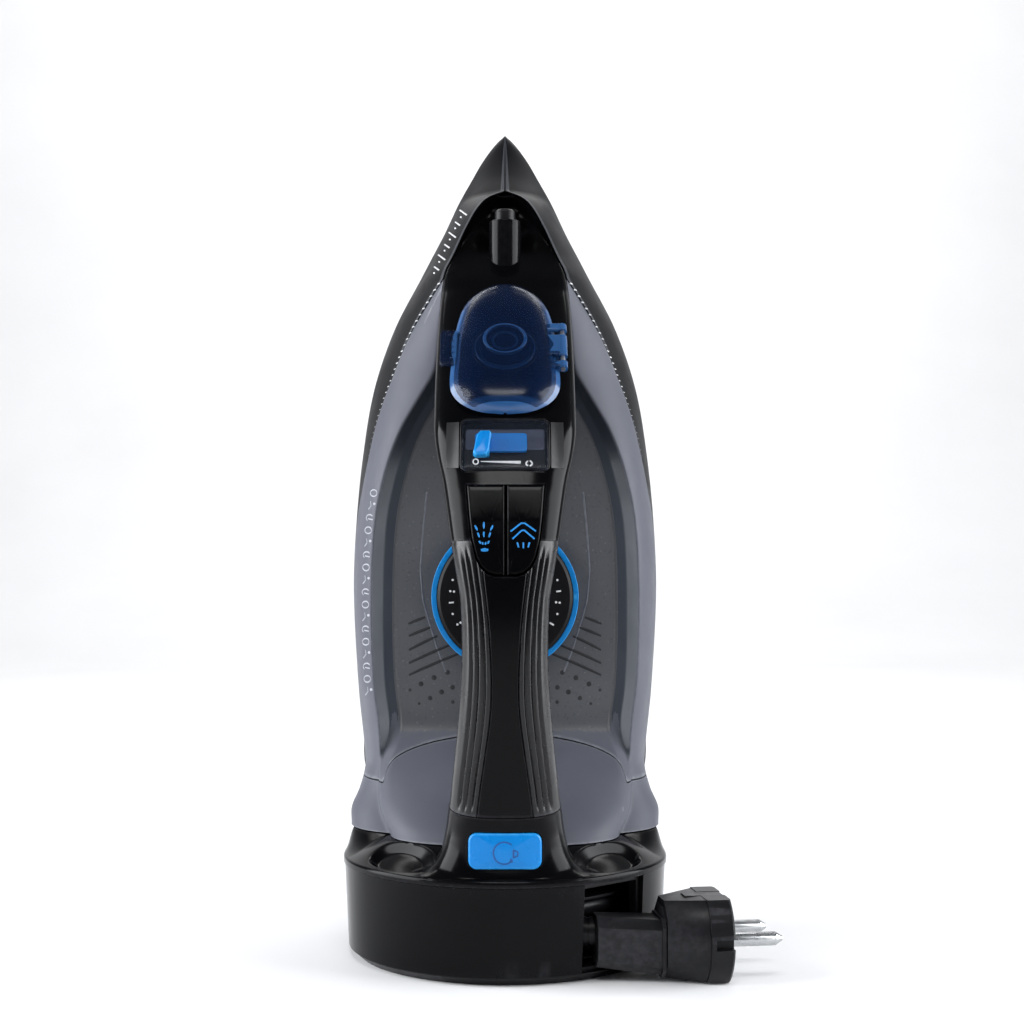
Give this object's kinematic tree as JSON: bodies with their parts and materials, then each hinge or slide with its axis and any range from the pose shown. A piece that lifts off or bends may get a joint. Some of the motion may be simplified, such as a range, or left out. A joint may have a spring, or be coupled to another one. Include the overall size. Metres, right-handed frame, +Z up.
{
  "type": "clothes iron",
  "caption": "Steam iron standing on a round heel drum that holds a cord reel, with filler cap, steam slider, spray keys and dial.",
  "frame": {"origin": "centre of the heel drum on its flat underside, where the standing iron rests", "axes": "+Z up to the tip, +Y out of the soleplate, -Y the handle side, +X to the right seen from the handle side"},
  "size_m": [0.1563, 0.1318, 0.3183],
  "materials": {
    "black_gloss": "gloss",
    "black_satin": "satin",
    "grip_black": "matte",
    "tank_grey": "gloss",
    "blue": "gloss",
    "dial_black": "gloss",
    "clear_blue": "gloss",
    "smoked": "gloss",
    "steel": "satin",
    "spring_steel": "satin",
    "nickel": "bright",
    "brass": "satin",
    "laminate": "matte",
    "aluminium": "satin",
    "element": "matte",
    "ceramic": "matte",
    "natural_plastic": "satin",
    "silicone": "matte",
    "tank_inner": "satin",
    "wire": "satin"
  },
  "bodies": {
    "iron": {"heel_base": "black_satin", "drum_housing": "black_gloss", "heel_cover": "black_gloss", "outlet_frame": "black_satin", "reel_axle": "steel", "contact_bridge": "laminate", "rewind_spring": "spring_steel", "rocker_pin": "steel", "base_screws": "steel", "soleplate": "aluminium", "heating_element": "element", "steam_chamber_lid": "aluminium", "thermostat": "ceramic", "thermal_fuse": "ceramic", "sole_screws": "steel", "nose_skirt": "black_gloss", "water_tank": "tank_grey", "tank_floor": "tank_inner", "tank_seal": "silicone", "rear_saddle": "tank_grey", "spine_cover": "black_gloss", "spray_nozzle": "black_gloss", "nozzle_tip": "black_satin", "spray_hose": "silicone", "filler_collar": "clear_blue", "cap_hinge_pin": "steel", "steam_window": "smoked", "valve_seat": "silicone", "pump_barrels": "natural_plastic", "button_springs": "spring_steel", "handle_top": "black_gloss", "grip_left": "grip_black", "grip_right": "grip_black", "handle_under": "black_gloss", "terminal_block": "laminate", "supply_wires": "wire", "handle_screw": "steel"},
    "cap": {"filler_cap": "clear_blue", "filler_seal": "clear_blue"},
    "slider": {"steam_slider": "blue"},
    "valve": {"valve_rod": "steel"},
    "spray_key": {"spray_button": "black_satin"},
    "steam_key": {"steam_button": "black_satin"},
    "dial": {"temperature_dial": "dial_black", "dial_ring": "blue", "dial_shaft": "steel"},
    "rewind_key": {"rewind_button": "blue"},
    "rocker": {"brake_rocker": "natural_plastic"},
    "reel": {"reel_spool": "black_satin", "reel_spring": "spring_steel", "slip_rings": "brass", "wound_cord": "black_satin"},
    "plug": {"cord_lead": "black_satin", "plug_body": "black_satin", "plug_face": "black_satin", "plug_pins": "nickel", "earth_clips": "steel"}
  },
  "joints": [
    {"name": "cap_hinge", "type": "hinge", "parent": "iron", "child": "cap", "pos_m": [0.0206, -0.02756, 0.22238], "axis": [0, 0.6293, 0.7771], "range_deg": [0, 105]},
    {"name": "steam_slide", "type": "slide", "parent": "iron", "child": "slider", "axis": [1, 0, 0], "range_m": [0, 0.007]},
    {"name": "valve_lift", "type": "slide", "parent": "iron", "child": "valve", "axis": [0, -1, 0], "range_m": [0, 0.0015]},
    {"name": "spray_press", "type": "slide", "parent": "iron", "child": "spray_key", "axis": [0, 1, 0], "range_m": [0, 0.0035], "stiffness_N_per_m": 900, "springref_m": -0.001, "deforming": ["button_springs"]},
    {"name": "steam_press", "type": "slide", "parent": "iron", "child": "steam_key", "axis": [0, 1, 0], "range_m": [0, 0.0035], "stiffness_N_per_m": 900, "springref_m": -0.001, "deforming": ["button_springs"]},
    {"name": "dial_turn", "type": "hinge", "parent": "iron", "child": "dial", "pos_m": [0, 0.008, 0.1313], "axis": [0, -1, 0], "range_deg": [0, 300]},
    {"name": "rewind_press", "type": "slide", "parent": "iron", "child": "rewind_key", "axis": [0, 1, 0], "range_m": [0, 0.003], "stiffness_N_per_m": 1200, "springref_m": -0.001, "deforming": ["rewind_spring"]},
    {"name": "brake_tilt", "type": "hinge", "parent": "iron", "child": "rocker", "pos_m": [0, -0.028, 0.035], "axis": [-1, 0, 0], "range_deg": [0, 15]},
    {"name": "cord_pull", "type": "slide", "parent": "iron", "child": "plug", "axis": [1, 0, 0], "range_m": [0, 0.045]},
    {"name": "reel_spin", "type": "hinge", "parent": "iron", "child": "reel", "pos_m": [0, 0, 0.016], "axis": [0, 0, 1], "range_deg": [0, 60]}
  ],
  "couplings": [
    {"joint": "valve_lift", "follows": "steam_slide", "ratio": 0.21429},
    {"joint": "brake_tilt", "follows": "rewind_press", "rad_per_m": 83.3},
    {"joint": "reel_spin", "follows": "cord_pull", "rad_per_m": 22.573}
  ]
}
